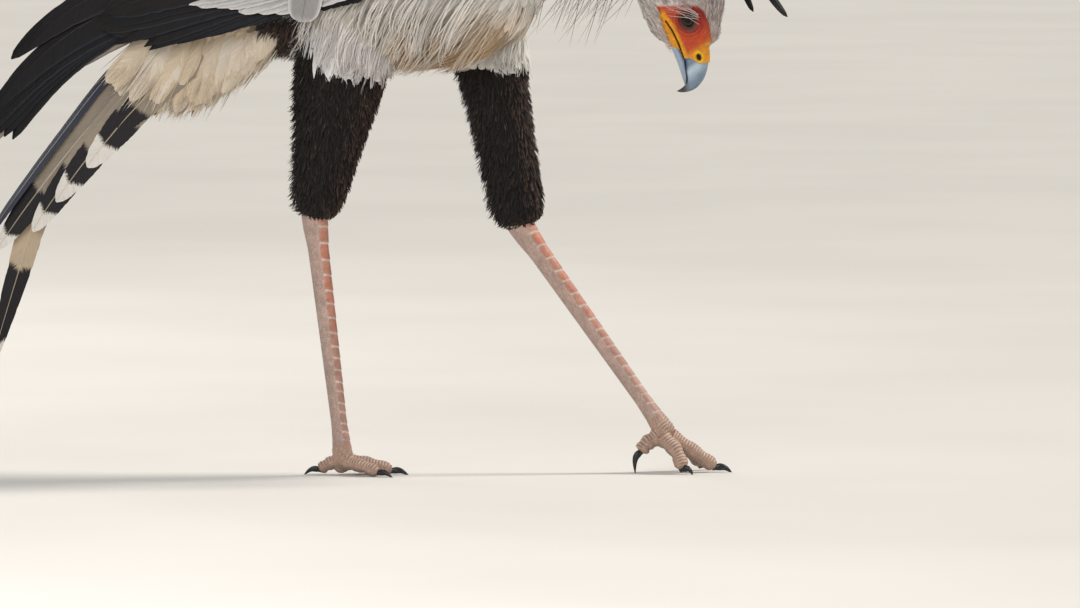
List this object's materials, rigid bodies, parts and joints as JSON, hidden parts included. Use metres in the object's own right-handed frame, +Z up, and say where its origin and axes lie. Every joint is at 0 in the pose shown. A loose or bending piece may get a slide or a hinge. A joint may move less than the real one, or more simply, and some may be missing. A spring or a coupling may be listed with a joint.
{
  "type": "secretary bird",
  "caption": "Life-size still model of a long-legged bird of prey stalking with its head bowed, with a plume crest, folded wings and a long drooping tail.",
  "frame": {"origin": "on the floor, under the middle of the bird's bounding box", "axes": "+X the way the bird faces and walks, +Y its left side, +Z up"},
  "size_m": [0.966, 0.244, 0.7642],
  "materials": {
    "body_white": "soft contour feathers, off-white",
    "feather_grey": "matt grey feathers",
    "feather_black": "black feathers with a faint sheen",
    "tail_grey": "grey vanes banded black, tipped white",
    "face_skin": "bare orange skin",
    "bill_horn": "smooth blue-grey horn",
    "eye": "wet dark brown",
    "leg_skin": "pinkish scaled skin",
    "claw_horn": "dark horn"
  },
  "bodies": {
    "root": {"torso": "body_white", "neck_lower": "feather_grey", "neck_upper": "feather_grey", "head": "face_skin", "bill_upper": "bill_horn", "bill_lower": "bill_horn", "eye_left": "eye", "eye_right": "eye", "tail": "tail_grey", "wing_left": "feather_grey", "wing_right": "feather_grey", "tibia_left": "feather_black", "tibia_right": "feather_black", "tarsus_left": "leg_skin", "tarsus_right": "leg_skin", "foot_left": "leg_skin", "foot_right": "leg_skin", "claw_inner_left": "claw_horn", "claw_middle_left": "claw_horn", "claw_outer_left": "claw_horn", "claw_hind_left": "claw_horn", "claw_inner_right": "claw_horn", "claw_middle_right": "claw_horn", "claw_outer_right": "claw_horn", "claw_hind_right": "claw_horn"}
  },
  "joints": []
}
